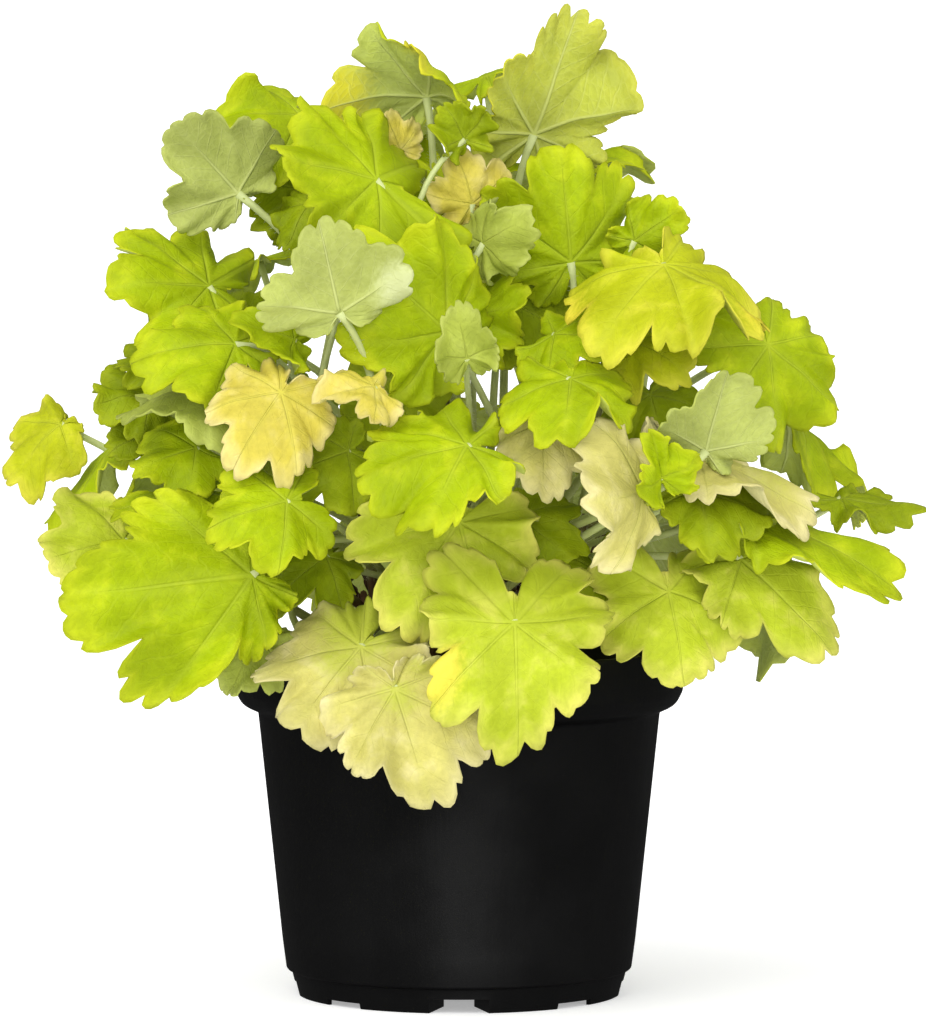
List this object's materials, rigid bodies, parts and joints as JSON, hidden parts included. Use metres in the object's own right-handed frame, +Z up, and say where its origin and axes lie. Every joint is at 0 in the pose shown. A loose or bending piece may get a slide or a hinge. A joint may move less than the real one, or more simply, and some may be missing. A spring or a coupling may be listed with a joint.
{
  "type": "heuchera plant in a nursery pot",
  "caption": "Bushy heuchera with ruffled, lobed lime-yellow leaves on thin stalks, growing from a woody crown in soil in a round black nursery pot.",
  "frame": {"origin": "on the ground, in the middle of the plant's outline seen from above, under the pot", "axes": "+Z up, along the plant's height; the pictured front faces -Y"},
  "size_m": [0.3476, 0.3034, 0.3718],
  "materials": {
    "leaf_lime": "satin",
    "leaf_yellow": "satin",
    "leaf_cream": "satin",
    "leaf_pale": "matte",
    "crown": "matte",
    "soil": "matte",
    "pot": "satin"
  },
  "bodies": {
    "root": {"crown": "crown", "leaf_behind_centre": "leaf_lime", "leaf_centre": "leaf_lime", "leaf_centre_edge": "leaf_lime", "leaf_centre_right": "leaf_lime", "leaf_cream_tall": "leaf_cream", "leaf_crest_centre": "leaf_lime", "leaf_crest_right": "leaf_pale", "leaf_curl_centre": "leaf_pale", "leaf_curl_left": "leaf_pale", "leaf_dark_low_left": "leaf_lime", "leaf_dark_mid_left": "leaf_lime", "leaf_edge_left": "leaf_lime", "leaf_far_right": "leaf_lime", "leaf_front": "leaf_yellow", "leaf_gold": "leaf_cream", "leaf_gold_small": "leaf_cream", "leaf_great_left": "leaf_lime", "leaf_grey_left": "leaf_pale", "leaf_hanging_cream": "leaf_cream", "leaf_high_left": "leaf_pale", "leaf_left_fan": "leaf_lime", "leaf_left_mid": "leaf_lime", "leaf_left_shelf": "leaf_lime", "leaf_low_mid_right": "leaf_yellow", "leaf_low_right": "leaf_pale", "leaf_lower_centre": "leaf_yellow", "leaf_mid_right": "leaf_lime", "leaf_outer_left": "leaf_yellow", "leaf_pale_back": "leaf_pale", "leaf_pale_shelf": "leaf_pale", "leaf_right_reach": "leaf_lime", "leaf_right_tip": "leaf_lime", "leaf_right_turned": "leaf_pale", "leaf_ruffle_left": "leaf_lime", "leaf_small_left": "leaf_lime", "leaf_small_right": "leaf_lime", "leaf_tall_right": "leaf_lime", "leaf_top_left": "leaf_lime", "leaf_top_right": "leaf_yellow", "leaf_yellow_right": "leaf_yellow", "pot": "pot", "shoot_back_2": "leaf_lime", "shoot_back_3": "leaf_lime", "shoot_back_4": "leaf_lime", "shoot_back_5": "leaf_lime", "shoot_back_6": "leaf_lime", "shoot_far_right": "leaf_lime", "shoot_high_left": "leaf_lime", "shoot_low_inner": "leaf_lime", "shoot_low_right": "leaf_lime", "shoot_outer_left": "leaf_lime", "shoot_right_low": "leaf_lime", "shoot_top": "leaf_lime", "soil": "soil"}
  },
  "joints": []
}
